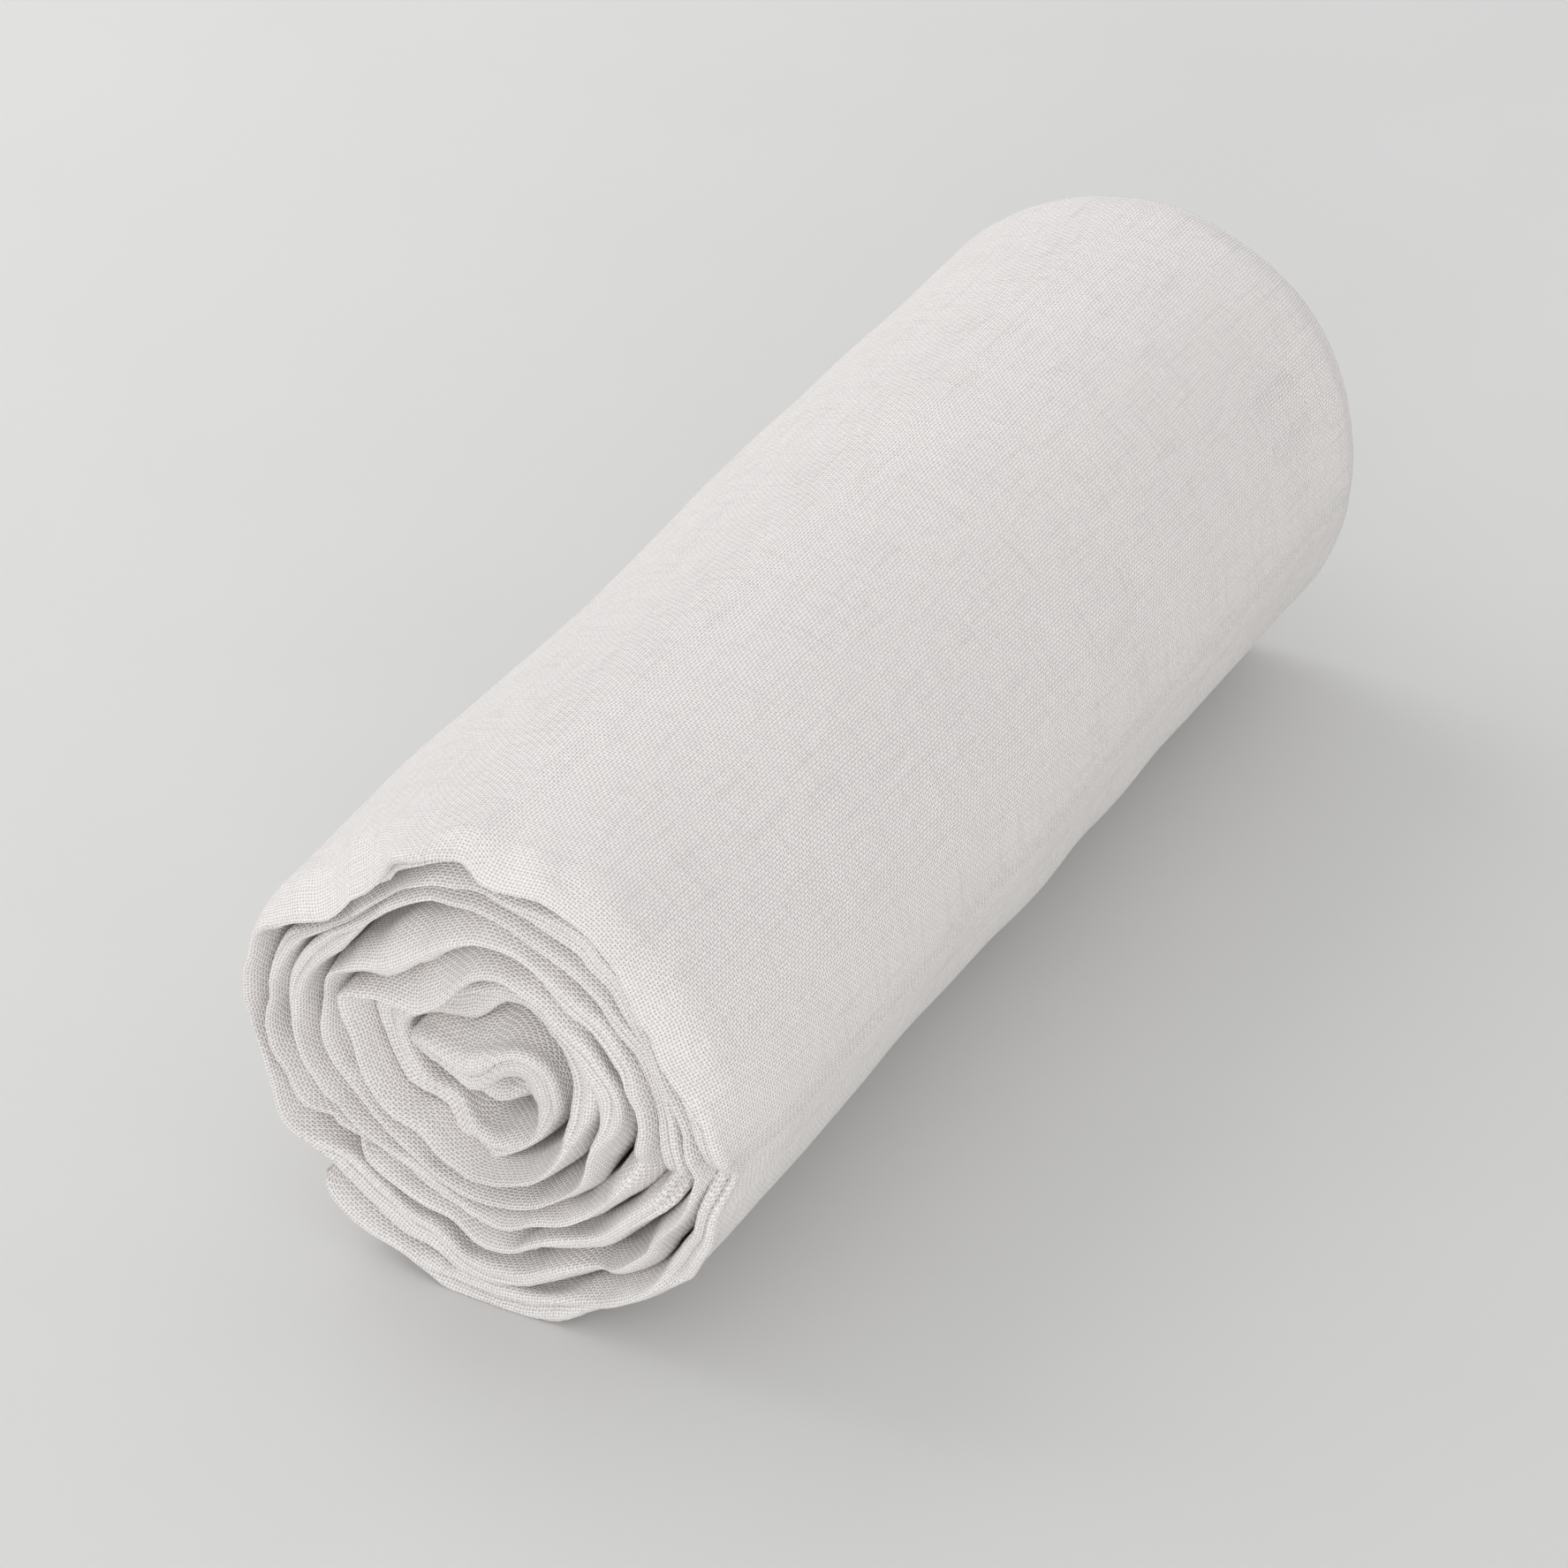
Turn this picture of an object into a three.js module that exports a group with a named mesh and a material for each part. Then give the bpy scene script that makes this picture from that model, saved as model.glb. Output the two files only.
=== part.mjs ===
// A linen fitted sheet, folded in half three times and rolled up, lying on its side.
// Millimetres, +Z up. The roll's axis runs along Y, and its crumpled near end faces -Y.
// The origin is on the surface it lies on, under the middle of its box.
import * as THREE from 'three';

// Driving dimensions.
const ROLL_LENGTH = 310;
const WIND_RADIUS = 59.2; // middle of the folded strip at its loose end
const WIND_TURNS = 8; // turns counted from the roll's centre to the loose end
const FIRST_TURN = 0.45; // where the strip starts, in the same count
const WIND_POWER = 0.85; // under 1, so the core is wound more loosely than the outside
const LOOSE_END_ANGLE = 227; // degrees from +X towards +Z
const LOOSE_END_TAPER = 7; // length over which the strip rounds off to its loose end
const LOOSE_END_SHARE = 0.2; // share of its thickness that is left at the very end
const LOOSE_END_CORNER = 4; // how far its two corners are drawn back
const LOOSE_END_STEPS = [5, 3, 1.2, 0]; // sections added just before it, by their distance from it
const TURN_GAP = 0.8; // air between one turn and the next
const STEPS_PER_TURN = 30;
const AXIS_X = -1.6; // the roll is wider to the right of its axis, so the axis stands left of the middle
const AXIS_HEIGHT = 59.2; // less than the radius below the axis, so the roll sits on a flat spot

// The folded edge of the strip at each end.
const CREST_SHARE = 0.18; // share of the full thickness at the crest
const NEAR_WEDGE = 8; // depth over which the near edge thickens
const FAR_WEDGE = 8; // depth over which the far edge thickens
const NEAR_DEPTHS = [0, 1.2, 4, 8, 15, 32];
const BODY_DEPTHS = [110, 205];
const FAR_DEPTHS = [8, 2.5, 0];

// The folded crests sway in and out from turn to turn, and forward and back.
const CREST_SWAY = { out: 0.9, forward: 1.2, fade: 3.5, waves: [3.7, 6.1] };

// How far each turn's folded edges lie behind the ends of the roll.
const EDGE_RECESS = [
  { turn: 0.4, near: 19, far: 12 },
  { turn: 0.8, near: 17, far: 10 },
  { turn: 1.05, near: 10, far: 9 },
  { turn: 1.2, near: 3, far: 9 },
  { turn: 1.4, near: 0.5, far: 8 },
  { turn: 1.55, near: 5, far: 8 },
  { turn: 1.7, near: 9, far: 7 },
  { turn: 2.1, near: 7, far: 6 },
  { turn: 2.3, near: 11, far: 6 },
  { turn: 2.5, near: 9, far: 5 },
  { turn: 2.65, near: 5, far: 5 },
  { turn: 2.9, near: 3, far: 5 },
  { turn: 3.2, near: 2.5, far: 5 },
  { turn: 5, near: 2.5, far: 4 },
  { turn: 6, near: 2.5, far: 3 },
  { turn: 7, near: 2, far: 1 },
  { turn: 8, near: 2, far: 0 },
];

// The main folds of the crumpled near end. Each sits at an angle and a radius, spreads along the
// turns and across them, pulls their edges forward (towards -Y) and out from the axis, and dies
// away over its reach behind the end.
const NEAR_FOLDS = [
  { name: 'lower squeeze', angle: 244, radius: 42, along: 18, across: 13, forward: 0, out: -5, reach: 60 },
  { name: 'left spread', angle: 186, radius: 40, along: 20, across: 13, forward: 0, out: 4.5, reach: 60 },
  { name: 'core bowl', angle: 275, radius: 14, along: 16, across: 12, forward: 0, out: 9, reach: 30 },
  { name: 'core left', angle: 190, radius: 15, along: 11, across: 10, forward: 0, out: 6, reach: 30 },
  { name: 'foot swell', angle: 212, radius: 53, along: 8, across: 8, forward: 0, out: 3, reach: 40 },
  { name: 'right squeeze', angle: 293, radius: 47, along: 10, across: 9, forward: 0, out: -4, reach: 40 },
  { name: 'bud', angle: 108, radius: 13, along: 12, across: 14, forward: 3, out: -12, reach: 18 },
  { name: 'core lobe', angle: 125, radius: 27, along: 12, across: 10, forward: 3, out: -8, reach: 16 },
  { name: 'left pocket', angle: 166, radius: 27, along: 6, across: 8, forward: 1, out: 6, reach: 25 },
  { name: 'core kink', angle: 236, radius: 21, along: 5, across: 6, forward: -2, out: -4, reach: 25 },
  { name: 'upper left lip', angle: 130, radius: 54, along: 22, across: 10, forward: 1, out: -8, reach: 14 },
  { name: 'lip curl', angle: 132, radius: 50, along: 20, across: 6, forward: 1, out: -4.5, reach: 9 },
  { name: 'right lip', angle: 28, radius: 57, along: 28, across: 8, forward: 0, out: -5.5, reach: 12 },
  { name: 'top lip', angle: 84, radius: 56, along: 14, across: 7, forward: 1.5, out: -4.5, reach: 12 },
  { name: 'corner', angle: 344, radius: 43, along: 9, across: 11, forward: 0, out: 3.5, reach: 40 },
  { name: 'corner tuck', angle: 343, radius: 34, along: 7, across: 7, forward: 0, out: -3.5, reach: 30 },
  { name: 'right spread', angle: 8, radius: 36, along: 12, across: 10, forward: 0, out: 3, reach: 40 },
  { name: 'right flat', angle: 15, radius: 50, along: 12, across: 8, forward: 0, out: -2, reach: 40 },
  { name: 'lower right flat', angle: 312, radius: 40, along: 14, across: 12, forward: 0, out: -2, reach: 40 },
  { name: 'lip by the pleat', angle: 103, radius: 52, along: 7, across: 7, forward: 3, out: 0, reach: 14 },
  { name: 'top pleat', angle: 91, radius: 53, along: 5, across: 5, forward: -2.5, out: 0, reach: 20 },
  { name: 'core crease', angle: 278, radius: 14, along: 3.5, across: 9, forward: 2, out: -3, reach: 20 },
  { name: 'left dimple', angle: 215, radius: 45, along: 3.5, across: 4, forward: -6, out: 0, reach: 20 },
  { name: 'twin dimple', angle: 224, radius: 46, along: 3, across: 4, forward: -5, out: 0, reach: 20 },
  { name: 'lower hollow', angle: 258, radius: 46, along: 6, across: 4, forward: -5, out: 0, reach: 20 },
  { name: 'right foot hollow', angle: 301, radius: 51, along: 6, across: 4, forward: -5, out: 0, reach: 20 },
  { name: 'corner gap', angle: 343, radius: 41, along: 4, across: 3.5, forward: -7, out: 0, reach: 20 },
  { name: 'outer corner gap', angle: 345, radius: 48, along: 4, across: 3.5, forward: -7, out: 0, reach: 20 },
  { name: 'corner slit', angle: 352, radius: 56, along: 4, across: 4, forward: -7, out: 0, reach: 20 },
];

// Soft hollows in the outer face, by their place along the roll and around it.
const OUTER_DENTS = [
  { name: 'shoulder hollow', along: -112, angle: 55, length: 34, spread: 30, depth: 1.8 },
  { name: 'waist', along: -28, angle: 140, length: 45, spread: 38, depth: 2.2 },
  { name: 'side hollow', along: 10, angle: 45, length: 60, spread: 26, depth: 1.1 },
  { name: 'far hollow', along: 104, angle: 20, length: 42, spread: 30, depth: 1.4 },
  { name: 'back hollow', along: 60, angle: 215, length: 70, spread: 30, depth: 1.6 },
];

const FULL_TURN = 360;
const DEGREE = Math.PI / 180;
const bell = (distance, spread) => Math.exp(-((distance / spread) ** 2));
const turnedBy = (a, b) => THREE.MathUtils.euclideanModulo(a - b + FULL_TURN / 2, FULL_TURN) - FULL_TURN / 2;
const held = (share) => Math.min(Math.max(share, 0), 1);
const ease = (share) => held(share) ** 2 * (3 - 2 * held(share));

// The recess in a named column at a turn that lies between the rows of the table.
function recessAt(turn, column) {
  const next = EDGE_RECESS.findIndex((row) => row.turn >= turn);
  if (next === -1) return EDGE_RECESS.at(-1)[column];
  if (next === 0) return EDGE_RECESS[0][column];
  const [low, high] = [EDGE_RECESS[next - 1], EDGE_RECESS[next]];
  return THREE.MathUtils.mapLinear(turn, low.turn, high.turn, low[column], high[column]);
}

const windRadius = (turn) => WIND_RADIUS * (Math.max(turn, 0) / WIND_TURNS) ** WIND_POWER;
const windAngle = (turn) => LOOSE_END_ANGLE + FULL_TURN * (WIND_TURNS - turn);
const toLooseEnd = (turn) => (WIND_TURNS - turn) * FULL_TURN * DEGREE * WIND_RADIUS;
const endRound = (turn) => Math.sqrt(1 - (1 - held(toLooseEnd(turn) / LOOSE_END_TAPER)) ** 2);
const wave = (turn, count) => Math.sin(FULL_TURN * DEGREE * turn * count);

// Half the strip's thickness at a turn, rounded off where it runs out to its loose end.
function halfThickness(turn) {
  const pitch = windRadius(turn + 0.5) - windRadius(turn - 0.5);
  return ((pitch - TURN_GAP) / 2) * (LOOSE_END_SHARE + (1 - LOOSE_END_SHARE) * endRound(turn));
}

// The share of its full thickness that the strip has at a depth behind its near crest.
function edgeShare(depth) {
  const opened = held(depth / NEAR_WEDGE);
  const near = (opened + Math.sin((opened * Math.PI) / 2)) / 2;
  const far = ease((ROLL_LENGTH - depth) / FAR_WEDGE);
  return CREST_SHARE + (1 - CREST_SHARE) * Math.min(near, far);
}

// How strongly a fold pulls at a place across the near end.
function foldWeight(fold, point) {
  const [outX, outZ] = [Math.cos(fold.angle * DEGREE), Math.sin(fold.angle * DEGREE)];
  const across = point.x * outX + point.z * outZ - fold.radius;
  const along = point.z * outX - point.x * outZ;
  return bell(along, fold.along) * bell(across, fold.across);
}

// Pushes a place across the near end by every fold in order, each fading behind the end.
function pushed(point, behind) {
  return NEAR_FOLDS.reduce((at, fold) => {
    const pull = fold.out * foldWeight(fold, at) * Math.exp(-behind / fold.reach);
    return { x: at.x + pull * Math.cos(fold.angle * DEGREE), z: at.z + pull * Math.sin(fold.angle * DEGREE) };
  }, point);
}

// How far the folds and the sway pull a turn's near crest forward.
function forwardAt(turn) {
  const angle = windAngle(turn) * DEGREE;
  const crest = pushed({ x: windRadius(turn) * Math.cos(angle), z: windRadius(turn) * Math.sin(angle) }, 0);
  const sway = CREST_SWAY.forward * wave(turn, CREST_SWAY.waves[1]);
  return NEAR_FOLDS.reduce((sum, fold) => sum + fold.forward * foldWeight(fold, crest), sway);
}

// How deep the outer face is pressed in at a place on the roll.
function dentAt(turn, along) {
  if (turn < WIND_TURNS - 1) return 0;
  const angle = windAngle(turn);
  return OUTER_DENTS.reduce((sum, dent) => {
    const around = bell(turnedBy(angle, dent.angle), dent.spread);
    return sum + dent.depth * bell(along - dent.along, dent.length) * around;
  }, 0);
}

// One point of the strip: side is -1 on its inner face and 1 on its outer face.
function stripPoint(turn, depth, along, side) {
  const angle = windAngle(turn) * DEGREE;
  const [outX, outZ] = [Math.cos(angle), Math.sin(angle)];
  const radius = windRadius(turn) + side * halfThickness(turn) * edgeShare(depth);
  const behind = Math.max(along + ROLL_LENGTH / 2, 0);
  const place = pushed({ x: radius * outX, z: radius * outZ }, behind);
  const sway = CREST_SWAY.out * wave(turn, CREST_SWAY.waves[0]) * bell(depth, CREST_SWAY.fade);
  const shift = sway - (side > 0 ? dentAt(turn, along) : 0);
  const height = AXIS_HEIGHT + place.z + shift * outZ;
  return new THREE.Vector3(AXIS_X + place.x + shift * outX, along, Math.max(height, 0));
}

// The closed section of the folded strip at one turn: out along its outer face from the
// near edge to the far edge, and back along its inner face.
function stripSection(turn) {
  const corner = LOOSE_END_CORNER * (1 - endRound(turn));
  const near = -ROLL_LENGTH / 2 + recessAt(turn, 'near') - forwardAt(turn) + corner;
  const far = ROLL_LENGTH / 2 - recessAt(turn, 'far') - corner;
  const depths = [...NEAR_DEPTHS, ...BODY_DEPTHS, ...FAR_DEPTHS.map((depth) => ROLL_LENGTH - depth)];
  const alongAt = (depth) => near + (depth * (far - near)) / ROLL_LENGTH;
  const face = (side) => depths.map((depth) => stripPoint(turn, depth, alongAt(depth), side));
  return [...face(1), ...face(-1).reverse()];
}

// Winds the section up from the core to the loose end, and closes both ends of the strip.
function windStrip() {
  const whole = Math.round((WIND_TURNS - FIRST_TURN) * STEPS_PER_TURN);
  const turns = [];
  for (let step = 0; step < whole; step += 1) {
    turns.push(WIND_TURNS - (whole - step) / STEPS_PER_TURN);
  }
  turns.push(...LOOSE_END_STEPS.map((left) => WIND_TURNS - left / (FULL_TURN * DEGREE * WIND_RADIUS)));
  const sections = turns.map(stripSection);
  const steps = sections.length - 1;
  const count = sections[0].length;
  const faces = [];
  for (let step = 0; step < steps; step += 1) {
    for (let i = 0; i < count; i += 1) {
      const a = step * count + i;
      const b = step * count + ((i + 1) % count);
      faces.push(a, a + count, b, b, a + count, b + count);
    }
  }
  const last = steps * count;
  for (let i = 0; i < count / 2 - 1; i += 1) {
    const opposite = count - 1 - i;
    faces.push(i, i + 1, opposite, i + 1, opposite - 1, opposite);
    faces.push(last + i, last + opposite, last + i + 1, last + i + 1, last + opposite, last + opposite - 1);
  }
  const geometry = new THREE.BufferGeometry().setFromPoints(sections.flat());
  geometry.setIndex(faces);
  geometry.computeVertexNormals();
  return geometry;
}

const washedLinen = new THREE.MeshStandardMaterial({ color: '#e4e0dc', roughness: 0.95, metalness: 0 });
const rolledSheet = new THREE.Mesh(windStrip(), washedLinen);
rolledSheet.name = 'rolled_sheet';

const part = new THREE.Group();
part.add(rolledSheet);

export default part;
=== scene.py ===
"""A linen fitted sheet, folded in half three times and rolled up, lying on a pale studio floor."""
import logging
import math
from dataclasses import dataclass, field
from enum import Enum

import bmesh
import bpy
import numpy as np
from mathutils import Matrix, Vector


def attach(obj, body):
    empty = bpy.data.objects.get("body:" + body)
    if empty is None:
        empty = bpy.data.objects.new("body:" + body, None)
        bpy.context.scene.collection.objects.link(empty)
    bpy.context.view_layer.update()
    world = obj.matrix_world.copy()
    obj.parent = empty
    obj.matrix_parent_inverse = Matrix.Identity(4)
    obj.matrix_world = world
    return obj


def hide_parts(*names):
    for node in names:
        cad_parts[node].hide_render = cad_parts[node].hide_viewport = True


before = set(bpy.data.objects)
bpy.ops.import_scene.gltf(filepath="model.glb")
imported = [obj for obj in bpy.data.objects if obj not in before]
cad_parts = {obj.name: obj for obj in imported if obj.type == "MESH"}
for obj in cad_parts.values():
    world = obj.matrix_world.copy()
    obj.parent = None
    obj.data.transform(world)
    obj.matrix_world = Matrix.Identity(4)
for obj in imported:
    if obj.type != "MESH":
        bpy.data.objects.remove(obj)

LOG = logging.getLogger("rolled_sheet")
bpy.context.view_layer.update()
MM = 0.001
KINK_DRAWS = 600
RIPPLE_TILE = 128


class Fade(Enum):
    """How far behind the near crest a kind of unevenness dies away, in millimetres."""

    LEAN = 9.0
    PUCKER = 12.0
    CREST = 3.5


@dataclass(frozen=True)
class Fold:
    """A soft push at the crumpled near end, in millimetres and degrees.

    It pulls the folded edges around its centre forward, and out from the axis, and dies away over its reach.
    """

    name: str
    angle: float
    radius: float
    along: float
    across: float
    forward: float
    out: float
    reach: float

    def weight(self, x: np.ndarray, z: np.ndarray) -> np.ndarray:
        """Gives how strongly the fold pulls at a place across the near end."""
        across = x * self.towards[0] + z * self.towards[1] - self.radius
        along = z * self.towards[0] - x * self.towards[1]
        return bell(along, self.along) * bell(across, self.across)

    @property
    def towards(self) -> tuple[float, float]:
        """The way out from the axis at the fold's centre, along X and Z."""
        return math.cos(math.radians(self.angle)), math.sin(math.radians(self.angle))


@dataclass(frozen=True)
class Dent:
    """A soft hollow in the outer face, in millimetres and degrees."""

    name: str
    along: float
    angle: float
    length: float
    spread: float
    depth: float


@dataclass(frozen=True)
class Recess:
    """How far a turn's two folded edges lie behind the ends of the roll, in millimetres."""

    turn: float
    near: float
    far: float


NEAR_FOLDS = (
    Fold("lower squeeze", 244, 42, 18, 13, 0, -5, 60),
    Fold("left spread", 186, 40, 20, 13, 0, 4.5, 60),
    Fold("core bowl", 275, 14, 16, 12, 0, 9, 30),
    Fold("core left", 190, 15, 11, 10, 0, 6, 30),
    Fold("foot swell", 212, 53, 8, 8, 0, 3, 40),
    Fold("right foot squeeze", 293, 47, 10, 9, 0, -4, 40),
    Fold("bud", 108, 13, 12, 14, 3, -12, 18),
    Fold("lobe over the core", 125, 27, 12, 10, 3, -8, 16),
    Fold("left pocket", 166, 27, 6, 8, 1, 6, 25),
    Fold("core kink", 236, 21, 5, 6, -2, -4, 25),
    Fold("upper left lip", 130, 54, 22, 10, 1, -8, 14),
    Fold("lip curl", 132, 50, 20, 6, 1, -4.5, 9),
    Fold("right lip", 28, 57, 28, 8, 0, -5.5, 12),
    Fold("top lip", 84, 56, 14, 7, 1.5, -4.5, 12),
    Fold("corner", 344, 43, 9, 11, 0, 3.5, 40),
    Fold("corner tuck", 343, 34, 7, 7, 0, -3.5, 30),
    Fold("right spread", 8, 36, 12, 10, 0, 3, 40),
    Fold("right flat", 15, 50, 12, 8, 0, -2, 40),
    Fold("lower right flat", 312, 40, 14, 12, 0, -2, 40),
    Fold("lip by the pleat", 103, 52, 7, 7, 3, 0, 14),
    Fold("top pleat", 91, 53, 5, 5, -2.5, 0, 20),
    Fold("core crease", 278, 14, 3.5, 9, 2, -3, 20),
    Fold("left dimple", 215, 45, 3.5, 4, -6, 0, 20),
    Fold("twin dimple", 224, 46, 3, 4, -5, 0, 20),
    Fold("lower hollow", 258, 46, 6, 4, -5, 0, 20),
    Fold("right foot hollow", 301, 51, 6, 4, -5, 0, 20),
    Fold("corner gap", 343, 41, 4, 3.5, -7, 0, 20),
    Fold("second corner gap", 345, 48, 4, 3.5, -7, 0, 20),
    Fold("corner slit", 352, 56, 4, 4, -7, 0, 20),
)

OUTER_DENTS = (
    Dent("shoulder hollow", -112, 55, 34, 30, 1.8),
    Dent("waist", -28, 140, 45, 38, 2.2),
    Dent("side hollow", 10, 45, 60, 26, 1.1),
    Dent("far hollow", 104, 20, 42, 30, 1.4),
    Dent("back hollow", 60, 215, 70, 30, 1.6),
)

EDGE_RECESSES = (
    Recess(0.4, 19, 12),
    Recess(0.8, 17, 10),
    Recess(1.05, 10, 9),
    Recess(1.2, 3, 9),
    Recess(1.4, 0.5, 8),
    Recess(1.55, 5, 8),
    Recess(1.7, 9, 7),
    Recess(2.1, 7, 6),
    Recess(2.3, 11, 6),
    Recess(2.5, 9, 5),
    Recess(2.65, 5, 5),
    Recess(2.9, 3, 5),
    Recess(3.2, 2.5, 5),
    Recess(5.0, 2.5, 4),
    Recess(6.0, 2.5, 3),
    Recess(7.0, 2, 1),
    Recess(8.0, 2, 0),
)


def linear(colour: str) -> tuple[float, float, float, float]:
    """Turns an sRGB hex colour into linear values.

    Args:
        colour: Six hex digits after a hash sign.

    Returns:
        Linear red, green and blue, and an alpha of 1.
    """
    levels = [int(colour[i : i + 2], 16) / 255 for i in (1, 3, 5)]
    red, green, blue = (v / 12.92 if v <= 0.04045 else ((v + 0.055) / 1.055) ** 2.4 for v in levels)
    return red, green, blue, 1.0


def ease(share: np.ndarray) -> np.ndarray:
    """Eases a share from 0 to 1, flat at both ends."""
    held = np.clip(share, 0.0, 1.0)
    return held * held * (3.0 - 2.0 * held)


def bell(distance: np.ndarray, spread: float) -> np.ndarray:
    """Gives the height of a soft bell at a distance from its middle."""
    return np.exp(-((distance / spread) ** 2))


def turned_by(angle: np.ndarray, other: float) -> np.ndarray:
    """Gives the turn from one angle to another, from -180 to 180 degrees."""
    return (angle - other + 180.0) % 360.0 - 180.0


def kinks(place: np.ndarray, seed: int) -> np.ndarray:
    """Gives an unevenness along a line that bends at sharp, irregular places, as creased linen does.

    Args:
        place: Places along the line, one bend or so per unit.
        seed: Picks the unevenness.

    Returns:
        Heights from -1 to 1.
    """
    draw = np.random.default_rng(seed)
    stops = np.cumsum(draw.uniform(0.4, 1.6, KINK_DRAWS))
    return np.interp(place, stops, draw.uniform(-1.0, 1.0, KINK_DRAWS))


def ripples(first: np.ndarray, second: np.ndarray, seed: int) -> np.ndarray:
    """Gives a smooth unevenness over a surface.

    Args:
        first: Places along one way, one wave or so per unit.
        second: Places along the other way.
        seed: Picks the unevenness.

    Returns:
        Heights from -1 to 1.
    """
    heights = np.random.default_rng(seed).uniform(-1.0, 1.0, (RIPPLE_TILE, RIPPLE_TILE))
    row, column = np.floor(first).astype(int), np.floor(second).astype(int)
    a, b = ease(first - row), ease(second - column)
    here, ahead = row % RIPPLE_TILE, (row + 1) % RIPPLE_TILE
    left, right = column % RIPPLE_TILE, (column + 1) % RIPPLE_TILE
    low = heights[here, left] * (1 - b) + heights[here, right] * b
    high = heights[ahead, left] * (1 - b) + heights[ahead, right] * b
    return low * (1 - a) + high * a


@dataclass(frozen=True)
class Kink:
    """A fine unevenness along the strip: its height, the length of one bend, and the draw it comes from."""

    height: float
    length: float
    seed: int

    def at(self, run: np.ndarray) -> np.ndarray:
        """Gives the unevenness at distances along the strip."""
        return self.height * kinks(run / self.length, self.seed)


@dataclass(frozen=True)
class Crease:
    """Fine creases behind the near crests that slant along the strip, in millimetres."""

    height: float
    spacing: float
    slant: float
    seed: int

    def at(self, run: np.ndarray, depth: np.ndarray) -> np.ndarray:
        """Gives the creases at distances along the strip and behind its crest."""
        return self.height * kinks((run + self.slant * depth) / self.spacing, self.seed)


@dataclass(frozen=True)
class Swell:
    """Soft waves in the outer face, around the roll and along it, in millimetres."""

    height: float
    around: float
    lengthwise: float
    seed: int

    def at(self, run: np.ndarray, along: np.ndarray) -> np.ndarray:
        """Gives the waves at distances along the strip and along the roll."""
        return self.height * ripples(run / self.around, along / self.lengthwise, self.seed)


CREST_FORWARD = (Kink(1.2, 17.0, 1), Kink(0.7, 7.0, 2))
CREST_SPLIT = Kink(1.6, 26.0, 3)
CREST_PUCKER = Kink(0.3, 7.0, 4)
CREST_LEAN = (Kink(1.0, 15.0, 5), Kink(0.6, 6.0, 6))
FAR_FORWARD = Kink(1.2, 19.0, 7)
OUTER_SWELLS = (Swell(0.8, 46.0, 60.0, 8), Swell(0.45, 30.0, 21.0, 9))
NEAR_CREASES = (Crease(0.7, 9.0, 0.7, 10), Crease(0.7, 11.0, -0.9, 11))

# Distances behind a fold's crest at which the cloth gets a row: where the fold shows, and inside the strip.
NEAR_ROWS_SHOWN = (0.0, 0.12, 0.4, 0.9, 1.5, 2.4, 3.5, 4.8, 6.2, 7.8, 9.6, 12.0, 15.5, 20.0, 27.0, 37.0)
NEAR_ROWS_INSIDE = (0.0, 0.8, 3.0, 18.0)
FAR_ROWS_SHOWN = (14.0, 9.0, 5.5, 3.2, 1.8, 0.9, 0.3, 0.0)
FAR_ROWS_INSIDE = (6.0, 1.0, 0.0)
HEM_ROWS = (14.0, 6.0)
INNER_FACE_ROWS = (70.0, 150.0, 230.0)


def add_node(
    tree: bpy.types.NodeTree,
    kind: str,
    settings: dict[str, object] | None = None,
    inputs: dict[str | int, object] | None = None,
) -> bpy.types.Node:
    """Adds one node with its settings, and links or sets its inputs.

    Args:
        tree: The material's node tree.
        kind: The node's type name.
        settings: Values for the node's own properties.
        inputs: Values for its sockets, by name or place. A socket there is linked.

    Returns:
        The new node.
    """
    node = tree.nodes.new(kind)
    for name, value in (settings or {}).items():
        setattr(node, name, value)
    for name, value in (inputs or {}).items():
        if isinstance(value, bpy.types.NodeSocket):
            tree.links.new(value, node.inputs[name])
        else:
            node.inputs[name].default_value = value
    return node


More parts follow.
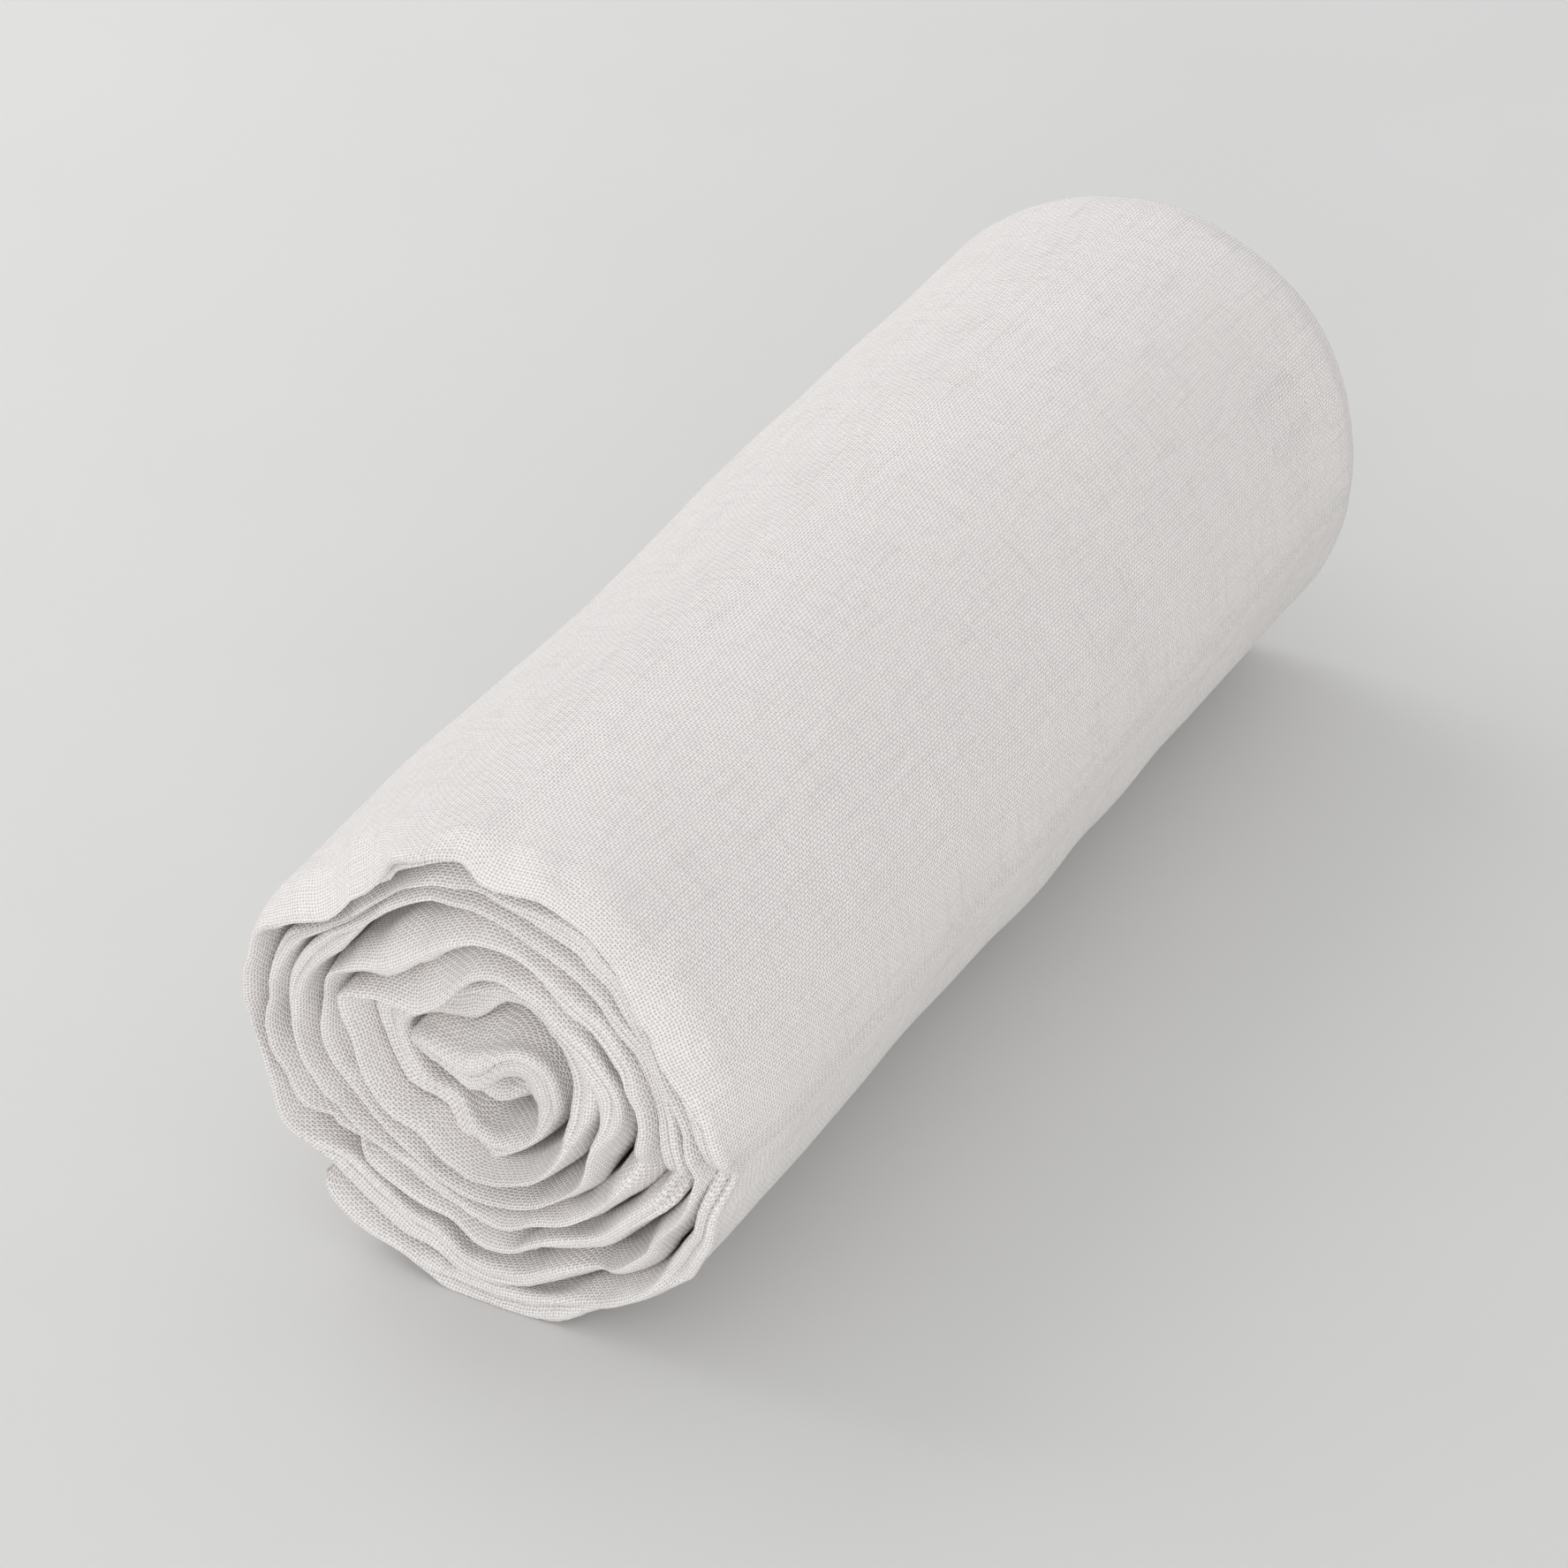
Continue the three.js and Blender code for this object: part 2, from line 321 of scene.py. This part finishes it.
@dataclass(frozen=True)
class WashedLinen:
    """Washed linen in an open plain weave: matt, off-white, with slubby threads and small openings painted
    dark as shade between the threads.
    """

    name: str = "washed_linen_plain_weave"
    thread: str = "#f4f0ed"
    shade: str = "#eae6e3"
    # Painted shade: the grey that fills the openings between the threads, standing for the shade seen through
    # the weave.
    pore_shade: str = "#96918d"
    roughness: float = 0.92
    sheen: float = 0.3
    sheen_roughness: float = 0.5
    specular: float = 0.2
    # The real threads lie about 0.7 mm apart. They are drawn a little coarser, so that they show from afar.
    thread_pitch_mm: float = 0.74
    wander_mm: float = 6.25
    wander_by_mm: float = 0.7
    over_under: float = 0.35
    slub_length_mm: float = 22.0
    slub_height: float = 0.15
    slub_range: tuple[float, float] = (0.52, 0.85)
    pore_range: tuple[float, float] = (0.15, 0.62)
    pore_patch_mm: float = 5 / 3
    pore_patch_range: tuple[float, float] = (0.3, 0.7)
    least_pore: float = 0.1
    bump_strength: float = 0.8
    thread_height_mm: float = 0.4

    def material(self) -> bpy.types.Material:
        """Makes the weave from the cloth's own map, with painted shade in the openings between the threads,
        and slubs.
        """
        made = bpy.data.materials.new(self.name)
        made.use_nodes = True
        tree = made.node_tree
        tree.nodes.clear()
        cloth = add_node(tree, "ShaderNodeUVMap", {"uv_map": "cloth"}).outputs["UV"]
        per_metre = 1.0 / (self.thread_pitch_mm * MM)
        wander = add_node(
            tree,
            "ShaderNodeTexNoise",
            {"noise_dimensions": "2D"},
            {"Vector": cloth, "Scale": 1.0 / (self.wander_mm * MM), "Detail": 2.0},
        )
        wander_by = self.wander_by_mm * MM
        moved = add_node(
            tree,
            "ShaderNodeVectorMath",
            {"operation": "MULTIPLY_ADD"},
            {0: wander.outputs["Color"], 1: (wander_by, wander_by, 0.0), 2: cloth},
        )
        threads = add_node(
            tree,
            "ShaderNodeVectorMath",
            {"operation": "MULTIPLY"},
            {0: moved.outputs[0], 1: (math.pi * per_metre, math.pi * per_metre, 0.0)},
        )
        waves = add_node(tree, "ShaderNodeVectorMath", {"operation": "SINE"}, {0: threads.outputs[0]})
        split = add_node(tree, "ShaderNodeSeparateXYZ", {}, {0: waves.outputs[0]})
        weft = add_node(tree, "ShaderNodeMath", {"operation": "ABSOLUTE"}, {0: split.outputs["X"]})
        warp = add_node(tree, "ShaderNodeMath", {"operation": "ABSOLUTE"}, {0: split.outputs["Y"]})
        hill = add_node(
            tree, "ShaderNodeMath", {"operation": "MAXIMUM"}, {0: weft.outputs[0], 1: warp.outputs[0]}
        )
        over = add_node(
            tree, "ShaderNodeMath", {"operation": "MULTIPLY"}, {0: split.outputs["X"], 1: split.outputs["Y"]}
        )
        woven = add_node(
            tree,
            "ShaderNodeMath",
            {"operation": "MULTIPLY_ADD"},
            {0: over.outputs[0], 1: self.over_under, 2: hill.outputs[0]},
        )
        slub_x = self.slubs(tree, cloth, (1.0, self.slub_length_mm, 1.0))
        slub_y = self.slubs(tree, cloth, (self.slub_length_mm, 1.0, 1.0))
        slub = add_node(tree, "ShaderNodeMath", {"operation": "ADD"}, {0: slub_x, 1: slub_y})
        height = add_node(
            tree,
            "ShaderNodeMath",
            {"operation": "MULTIPLY_ADD"},
            {0: slub.outputs[0], 1: self.slub_height, 2: woven.outputs[0]},
        )
        bump = add_node(
            tree,
            "ShaderNodeBump",
            {},
            {
                "Strength": self.bump_strength,
                "Distance": self.thread_height_mm * MM,
                "Height": height.outputs[0],
            },
        )
        # Painted shade in the openings of the weave: this mask is 0 where the threads part and 1 on the
        # threads.
        pore_shade_mask = add_node(
            tree,
            "ShaderNodeMapRange",
            {"interpolation_type": "SMOOTHSTEP"},
            {"Value": hill.outputs[0], "From Min": self.pore_range[0], "From Max": self.pore_range[1]},
        )
        grain = add_node(
            tree,
            "ShaderNodeTexNoise",
            {"noise_dimensions": "2D"},
            {"Vector": cloth, "Scale": 1.0 / (self.pore_patch_mm * MM), "Detail": 1.0},
        )
        openness = add_node(
            tree,
            "ShaderNodeMapRange",
            {},
            {
                "Value": grain.outputs[0],
                "From Min": self.pore_patch_range[0],
                "From Max": self.pore_patch_range[1],
                "To Min": self.least_pore,
            },
        )
        closed = add_node(tree, "ShaderNodeMath", {"operation": "SUBTRACT"}, {0: 1.0, 1: openness.outputs[0]})
        filled = add_node(
            tree, "ShaderNodeMath", {"operation": "MAXIMUM"}, {0: pore_shade_mask.outputs[0], 1: closed.outputs[0]}
        )
        thread_tone = add_node(
            tree,
            "ShaderNodeMix",
            {"data_type": "RGBA"},
            {"Factor": slub.outputs[0], 6: linear(self.thread), 7: linear(self.shade)},
        )
        # Mixes the painted shade of the openings with the threads' own tone.
        colour = add_node(
            tree,
            "ShaderNodeMix",
            {"data_type": "RGBA"},
            {"Factor": filled.outputs[0], 6: linear(self.pore_shade), 7: thread_tone.outputs[2]},
        )
        shader = add_node(
            tree,
            "ShaderNodeBsdfPrincipled",
            {},
            {
                "Base Color": colour.outputs[2],
                "Roughness": self.roughness,
                "Sheen Weight": self.sheen,
                "Sheen Roughness": self.sheen_roughness,
                "Specular IOR Level": self.specular,
                "Normal": bump.outputs[0],
            },
        )
        add_node(tree, "ShaderNodeOutputMaterial", {}, {"Surface": shader.outputs[0]})
        return made

    def slubs(
        self, tree: bpy.types.NodeTree, cloth: bpy.types.NodeSocket, stretch: tuple[float, float, float]
    ) -> bpy.types.NodeSocket:
        """Adds the thick and thin places of the threads that run one way.

        Args:
            tree: The material's node tree.
            cloth: The cloth's own map, in metres.
            stretch: How many millimetres long a slub is along each way of the map.

        Returns:
            A socket that is 0 on even thread and rises on a slub.
        """
        scaled = add_node(
            tree,
            "ShaderNodeVectorMath",
            {"operation": "DIVIDE"},
            {0: cloth, 1: tuple(length * MM for length in stretch)},
        )
        grain = add_node(
            tree,
            "ShaderNodeTexNoise",
            {"noise_dimensions": "2D"},
            {"Vector": scaled.outputs[0], "Scale": 1.0},
        )
        lifted = add_node(
            tree,
            "ShaderNodeMapRange",
            {},
            {"Value": grain.outputs[0], "From Min": self.slub_range[0], "From Max": self.slub_range[1]},
        )
        return lifted.outputs[0]


@dataclass(frozen=True)
class StudioPaper:
    """Matt seamless studio paper in a pale grey, with a faint mottle."""

    name: str = "matt_studio_paper"
    light: str = "#d6d6d4"
    dark: str = "#d3d3d1"
    roughness: float = 0.9
    mottle_mm: float = 60.0

    def material(self) -> bpy.types.Material:
        """Makes the paper's material."""
        made = bpy.data.materials.new(self.name)
        made.use_nodes = True
        tree = made.node_tree
        tree.nodes.clear()
        place = add_node(tree, "ShaderNodeTexCoord").outputs["Object"]
        mottle = add_node(
            tree,
            "ShaderNodeTexNoise",
            {},
            {"Vector": place, "Scale": 1.0 / (self.mottle_mm * MM), "Detail": 3.0},
        )
        colour = add_node(
            tree,
            "ShaderNodeMix",
            {"data_type": "RGBA"},
            {"Factor": mottle.outputs[0], 6: linear(self.dark), 7: linear(self.light)},
        )
        shader = add_node(
            tree,
            "ShaderNodeBsdfPrincipled",
            {},
            {"Base Color": colour.outputs[2], "Roughness": self.roughness},
        )
        add_node(tree, "ShaderNodeOutputMaterial", {}, {"Surface": shader.outputs[0]})
        return made


@dataclass(frozen=True)
class ClothRow:
    """One line of the cloth across its folds.

    Args:
        offset: Place in the folded strip's thickness, -1 on its inner face and 1 on its outer face.
        depth: Distance behind the near crest along the roll, in millimetres.
    """

    offset: float
    depth: float


@dataclass
class RolledSheet:
    """The sheet: folded to a strip of eight layers, and wound up. Sizes are in millimetres and degrees."""

    length: float = 310.0
    wind_radius: float = 59.2
    turns: float = 8.0
    first_turn: float = 0.45
    wind_power: float = 0.85
    loose_end_angle: float = 227.0
    loose_end_taper: float = 7.0
    loose_end_share: float = 0.08
    loose_end_corner: float = 4.0
    turn_gap: float = 0.8
    axis_x: float = -1.6
    axis_height: float = 59.2
    cut_width: float = 2500.0
    cut_length: float = 1600.0
    column_step: float = 2.3
    outer_row_step: float = 6.5
    crest_round: float = 1.3
    near_wedge: float = 8.0
    far_wedge: float = 8.0
    crest_share: float = 0.18
    nested_inset: float = 15.75
    inner_far_inset: float = 4.0
    outer_rows_from: float = 46.0
    outer_rows_to: float = 20.0
    hem_step: float = 2.0
    split_angle: float = 15.0
    split_spread: float = 45.0
    split_width: float = 1.8
    split_dip: float = 2.6
    split_dip_spread: float = 0.55
    crease_depth: float = 7.0
    outermost_from: float = 0.04
    layer_lift: float = 0.9
    floor_gap: float = 0.1
    # The eighth of the sheet that lies at each place through the strip, from its inner to its outer face.
    stack: tuple[int, ...] = (0, 7, 4, 3, 2, 5, 6, 1)
    finish: WashedLinen = field(default_factory=WashedLinen)

    def radius_at(self, turn: np.ndarray) -> np.ndarray:
        """Gives the radius of the strip's middle at a turn counted from the axis."""
        return self.wind_radius * (np.maximum(turn, 0.0) / self.turns) ** self.wind_power

    def angle_at(self, turn: np.ndarray) -> np.ndarray:
        """Gives the angle from +X towards +Z at a turn."""
        return self.loose_end_angle + 360.0 * (self.turns - turn)

    def half_thickness_at(self, turn: np.ndarray) -> np.ndarray:
        """Gives half the strip's thickness at a turn, where it isn't at an edge."""
        pitch = self.radius_at(turn + 0.5) - self.radius_at(turn - 0.5)
        return (pitch - self.turn_gap) / 2.0

    def columns(self) -> tuple[np.ndarray, np.ndarray]:
        """Spaces the columns of the cloth evenly along the strip.

        Returns:
            Each column's turn, and its distance along the strip.
        """
        fine = np.linspace(self.first_turn, self.turns, 4001)
        radius = self.radius_at(fine)
        around = np.radians(360.0) * np.diff(fine) * (radius[1:] + radius[:-1]) / 2.0
        steps = np.hypot(np.diff(radius), around)
        run = np.concatenate([[0.0], np.cumsum(steps)])
        place = np.linspace(0.0, run[-1], int(run[-1] / self.column_step) + 1)
        return np.interp(place, run, fine), place

    def offset_of(self, layer: int) -> float:
        """Gives the place of one eighth of the sheet through the strip's thickness."""
        last = len(self.stack) - 1
        return (2.0 * self.stack.index(layer) - last) / last

    def edge_rows(
        self, layer: int, partner: int, steps: tuple[float, ...], inset: float
    ) -> list[tuple[float, float]]:
        """Rounds one layer over the fold that it shares with its partner.

        Args:
            layer: The eighth of the sheet that is followed.
            partner: The eighth that it folds over to.
            steps: Distances behind the fold's crest.
            inset: Distance of this fold's crest behind the strip's crest.

        Returns:
            An offset and a distance behind the strip's crest for each step.
        """
        middle = (self.offset_of(layer) + self.offset_of(partner)) / 2.0
        reach = self.offset_of(layer) - middle
        rows = []
        for step in steps:
            open_share = min(step / self.crest_round, 1.0)
            rows.append((middle + reach * math.sqrt(1.0 - (1.0 - open_share) ** 2), inset + step))
        return rows

    def layer_rows(self, layer: int) -> list[ClothRow]:
        """Lays one eighth of the sheet from its near fold to its far fold or hem.

        Args:
            layer: The eighth of the sheet, counted from one hem to the other.

        Returns:
            The rows, from the near end to the far end, with the near crest in even layers only.
        """
        offset = self.offset_of(layer)
        shows_near = layer in (0, 1)
        inset = self.nested_inset * (1.0 - abs(offset))
        near = self.edge_rows(layer, layer ^ 1, NEAR_ROWS_SHOWN if shows_near else NEAR_ROWS_INSIDE, inset)
        if layer % 2:
            near = near[1:]
        if layer == 1:
            stops = np.arange(self.outer_rows_from, self.length - self.outer_rows_to, self.outer_row_step)
            body = [(offset, depth) for depth in stops]
        elif layer == 0:
            body = [(offset, depth) for depth in INNER_FACE_ROWS]
        else:
            body = [(offset * 0.25 - 0.3, self.length / 2.0)]
        far_partner = layer + 1 if layer % 2 else layer - 1
        if far_partner in (-1, len(self.stack)):
            hem = self.hem_step + abs(offset)
            far = [(offset, self.length - depth) for depth in (*HEM_ROWS, hem)]
        else:
            inside = layer in (5, 6)
            far_steps = FAR_ROWS_INSIDE if inside else FAR_ROWS_SHOWN
            rows = self.edge_rows(layer, far_partner, far_steps, self.inner_far_inset if inside else 0.0)
            far = [(place, self.length - depth) for place, depth in rows]
            if not layer % 2:
                far = far[:-1]
        return [ClothRow(place, depth) for place, depth in near + body + far]

    def rows(self) -> list[ClothRow]:
        """Follows the sheet from one hem to the other, over all its folds."""
        path: list[ClothRow] = []
        for layer in range(len(self.stack)):
            laid = self.layer_rows(layer)
            path += laid if layer % 2 else laid[::-1]
        return path

    def edge_share(self, depth: np.ndarray) -> np.ndarray:
        """Gives the share of its full thickness that the strip has near its ends.

        Args:
            depth: Distance behind the near crest.

        Returns:
            Shares from the crest's own to 1.
        """
        share = np.clip(depth / self.near_wedge, 0.0, 1.0)
        near = self.crest_share + (1.0 - self.crest_share) * (share + np.sin(share * np.pi / 2.0)) / 2.0
        far = self.crest_share + (1.0 - self.crest_share) * ease((self.length - depth) / self.far_wedge)
        return np.minimum(near, far)

    def recess_at(self, turn: np.ndarray, end: str) -> np.ndarray:
        """Gives how far a turn's edge lies behind the roll's end.

        Args:
            turn: Turns counted from the axis.
            end: Near or far, as the table names them.

        Returns:
            Distances behind that end.
        """
        places = [row.turn for row in EDGE_RECESSES]
        return np.interp(turn, places, [getattr(row, end) for row in EDGE_RECESSES])

    def dented(self, angle: np.ndarray, along: np.ndarray) -> np.ndarray:
        """Gives how deep the outer face is pressed in at a place on the roll."""
        total = np.zeros(np.broadcast(angle, along).shape)
        for dent in OUTER_DENTS:
            around = bell(turned_by(angle, dent.angle), dent.spread)
            total += dent.depth * bell(along - dent.along, dent.length) * around
        return total

    def pushed(
        self, x: np.ndarray, z: np.ndarray, behind: np.ndarray | float
    ) -> tuple[np.ndarray, np.ndarray]:
        """Pushes places across the roll by every fold of the near end in order.

        Args:
            x: Places to the right of the axis.
            z: Places above the axis.
            behind: Distances behind the near end, over which each fold fades.

        Returns:
            The pushed places.
        """
        for fold in NEAR_FOLDS:
            pull = fold.out * fold.weight(x, z) * np.exp(-behind / fold.reach)
            x, z = x + pull * fold.towards[0], z + pull * fold.towards[1]
        return x, z

    def forward_at(self, turn: np.ndarray, run: np.ndarray) -> np.ndarray:
        """Gives how far the near crest is pulled forward.

        Args:
            turn: Turns counted from the axis.
            run: Distances along the strip.

        Returns:
            Distances towards the near end.
        """
        angle, middle = np.radians(self.angle_at(turn)), self.radius_at(turn)
        x, z = self.pushed(middle * np.cos(angle), middle * np.sin(angle), 0.0)
        kinked = sum(kink.at(run) for kink in CREST_FORWARD)
        return kinked + sum(fold.forward * fold.weight(x, z) for fold in NEAR_FOLDS)

    def points(self, turn: np.ndarray, place: np.ndarray, rows: list[ClothRow]) -> np.ndarray:
        """Places every point of the cloth.

        Args:
            turn: Each column's turn.
            place: Each column's distance along the strip.
            rows: The rows across the folds.

        Returns:
            Points in metres, by column and row.
        """
        n, run = turn[:, None], place[:, None]
        offset = np.array([row.offset for row in rows])[None, :]
        depth = np.array([row.depth for row in rows])[None, :]
        angle = self.angle_at(n)
        outward = np.cos(np.radians(angle)), np.sin(np.radians(angle))
        left = np.clip((place[-1] - run) / self.loose_end_taper, 0.0, 1.0)
        tail = np.sqrt(1.0 - (1.0 - left) ** 2)
        opened = CREST_SPLIT.at(run) + bell(turned_by(angle, self.split_angle), self.split_spread)
        split = np.clip(opened, 0.0, 1.0) * bell(depth, Fade.CREST.value)
        pucker = offset * CREST_PUCKER.at(run) * np.exp(-depth / Fade.PUCKER.value)
        half = self.half_thickness_at(n) * self.edge_share(depth)
        half = half * (1.0 + self.split_width * split) * (1.0 + pucker)
        half = half * (self.loose_end_share + (1.0 - self.loose_end_share) * tail)
        corner = self.loose_end_corner * (1.0 - tail)
        near = -self.length / 2.0 + self.recess_at(n, "near") - self.forward_at(n, run) + corner
        far = self.length / 2.0 - self.recess_at(n, "far") + FAR_FORWARD.at(run) - corner
        dip = self.split_dip * split * bell(offset, self.split_dip_spread)
        along = near + depth * (far - near) / self.length + dip
        radius = self.radius_at(n) + offset * half
        behind = np.maximum(along + self.length / 2.0, 0.0)
        x, z = self.pushed(radius * outward[0], radius * outward[1], behind)
        lean = sum(kink.at(run) for kink in CREST_LEAN)
        creased = sum(crease.at(run, depth) for crease in NEAR_CREASES) * np.abs(offset)
        creased = creased * bell(depth - self.crease_depth, self.crease_depth)
        shift = lean * np.exp(-depth / Fade.LEAN.value) + creased
        outermost = ease((n - (self.turns - 1.0)) / self.outermost_from) * (offset + 1.0) / 2.0
        swell = sum(swell.at(run, along) for swell in OUTER_SWELLS)
        shift = shift - outermost * (self.dented(angle, along) + swell)
        x = self.axis_x + x + shift * outward[0]
        z = self.axis_height + z + shift * outward[1]
        z = np.maximum(z, self.layer_lift * (1.0 - offset) + self.floor_gap)
        return np.stack([x, along, z], axis=-1) * MM

    def build(self) -> bpy.types.Object:
        """Makes the cloth: one flat grid, folded and wound up point by point, with the flat cloth as its map.

        Returns:
            The cloth's object.
        """
        turn, place = self.columns()
        rows = self.rows()
        shape = self.points(turn, place, rows)
        steps = np.linalg.norm(np.diff(shape, axis=1), axis=2)
        flat = np.concatenate([np.zeros((len(turn), 1)), np.cumsum(steps, axis=1)], axis=1)
        crest = min(range(len(rows)), key=lambda i: rows[i].depth)
        flat = flat - flat[:, crest : crest + 1]
        grid = bmesh.new()
        bmesh.ops.create_grid(grid, x_segments=len(turn) - 1, y_segments=len(rows) - 1, size=1.0)
        mesh = bpy.data.meshes.new("rolled_sheet_cloth")
        grid.to_mesh(mesh)
        grid.free()
        corners = np.empty(len(mesh.vertices) * 3)
        mesh.vertices.foreach_get("co", corners)
        corners = corners.reshape(-1, 3)
        column = np.rint((corners[:, 0] + 1.0) / 2.0 * (len(turn) - 1)).astype(int)
        row = np.rint((corners[:, 1] + 1.0) / 2.0 * (len(rows) - 1)).astype(int)
        mesh.vertices.foreach_set("co", shape[column, row].ravel())
        loops = np.empty(len(mesh.loops), dtype=int)
        mesh.loops.foreach_get("vertex_index", loops)
        drawn = np.stack([place[column[loops]] * MM, flat[column[loops], row[loops]]], axis=-1)
        mesh.uv_layers.new(name="cloth").data.foreach_set("uv", drawn.ravel())
        mesh.polygons.foreach_set("use_smooth", [True] * len(mesh.polygons))
        mesh.update()
        piece = bpy.data.objects.new("rolled_sheet_cloth", mesh)
        bpy.context.scene.collection.objects.link(piece)
        return piece

    def dress(self, piece: bpy.types.Object) -> None:
        """Gives the cloth its finish, hangs it under the root body and hides the model's own sheet part."""
        piece.data.materials.append(self.finish.material())
        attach(piece, "root")
        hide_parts("rolled_sheet")


@dataclass
class Studio:
    """The floor, the soft light and the camera. Sizes are in metres and degrees."""

    floor_size: float = 8.0
    azimuth: float = 28.65
    elevation: float = 34.3
    distance: float = 1.1865
    aim: tuple[float, float, float] = (0.0, 0.0, 0.0578)
    aim_right: float = -0.0127
    aim_up: float = -0.0151
    lens: float = 121.7
    sensor: float = 36.0
    sky_strength: float = 0.8
    sky_tint: str = "#fdfdff"
    window_power: float = 10.5
    window_size: float = 1.7
    window_place: tuple[float, float, float] = (-1.3, 0.2, 1.0)
    fill_power: float = 15.0
    fill_size: float = 1.2
    fill_place: tuple[float, float, float] = (0.8, -1.9, 0.35)
    paper: StudioPaper = field(default_factory=StudioPaper)

    def build(self) -> None:
        """Lays the floor, lights it and sets the camera."""
        self.lay_floor()
        self.light()
        self.set_camera()
        bpy.context.scene.view_settings.view_transform = "Standard"

    def lay_floor(self) -> None:
        """Lays the plain paper that the roll lies on."""
        plane = bmesh.new()
        bmesh.ops.create_grid(plane, x_segments=8, y_segments=8, size=self.floor_size / 2.0)
        mesh = bpy.data.meshes.new("studio_floor")
        plane.to_mesh(mesh)
        plane.free()
        floor = bpy.data.objects.new("studio_floor", mesh)
        floor.data.materials.append(self.paper.material())
        bpy.context.scene.collection.objects.link(floor)

    def light(self) -> None:
        """Adds an even sky, a large soft window at the upper left and a weak fill from the front."""
        world = bpy.data.worlds.new("studio_sky")
        world.use_nodes = True
        sky = world.node_tree.nodes["Background"]
        sky.inputs["Color"].default_value = linear(self.sky_tint)
        sky.inputs["Strength"].default_value = self.sky_strength
        bpy.context.scene.world = world
        self.hang("window", self.window_place, self.window_size, self.window_power)
        self.hang("fill", self.fill_place, self.fill_size, self.fill_power)

    def hang(self, name: str, place: tuple[float, float, float], size: float, power: float) -> None:
        """Hangs one soft round light that faces the roll.

        Args:
            name: The light's name.
            place: Where it hangs.
            size: How wide it is.
            power: How strong it is, in watts.
        """
        light = bpy.data.lights.new(name, "AREA")
        light.shape = "DISK"
        light.size = size
        light.energy = power
        lamp = bpy.data.objects.new(name, light)
        lamp.location = place
        towards = Vector(self.aim) - Vector(place)
        lamp.rotation_euler = towards.to_track_quat("-Z", "Y").to_euler()
        bpy.context.scene.collection.objects.link(lamp)

    def set_camera(self) -> None:
        """Sets the camera at the photograph's angle, aimed a little beside the roll's middle."""
        azimuth, elevation = math.radians(self.azimuth), math.radians(self.elevation)
        back = Vector(
            (
                math.sin(azimuth) * math.cos(elevation),
                -math.cos(azimuth) * math.cos(elevation),
                math.sin(elevation),
            )
        )
        right = Vector((math.cos(azimuth), math.sin(azimuth), 0.0))
        up = back.cross(right)
        camera = bpy.data.objects.new("camera", bpy.data.cameras.new("camera"))
        camera.data.lens = self.lens
        camera.data.sensor_width = self.sensor
        camera.location = Vector(self.aim) + back * self.distance
        target = Vector(self.aim) + right * self.aim_right + up * self.aim_up
        camera.rotation_euler = (target - camera.location).to_track_quat("-Z", "Y").to_euler()
        bpy.context.scene.collection.objects.link(camera)
        bpy.context.scene.camera = camera


def main() -> None:
    """Builds the sheet and the studio, and reports each piece."""
    logging.basicConfig(level=logging.INFO, format="%(name)s: %(message)s")
    sheet = RolledSheet()
    piece = sheet.build()
    sheet.dress(piece)
    LOG.info("%s: %d faces", piece.name, len(piece.data.polygons))
    studio = Studio()
    studio.build()
    LOG.info("studio floor, sky, window and camera")


if __name__ == "__main__":
    main()
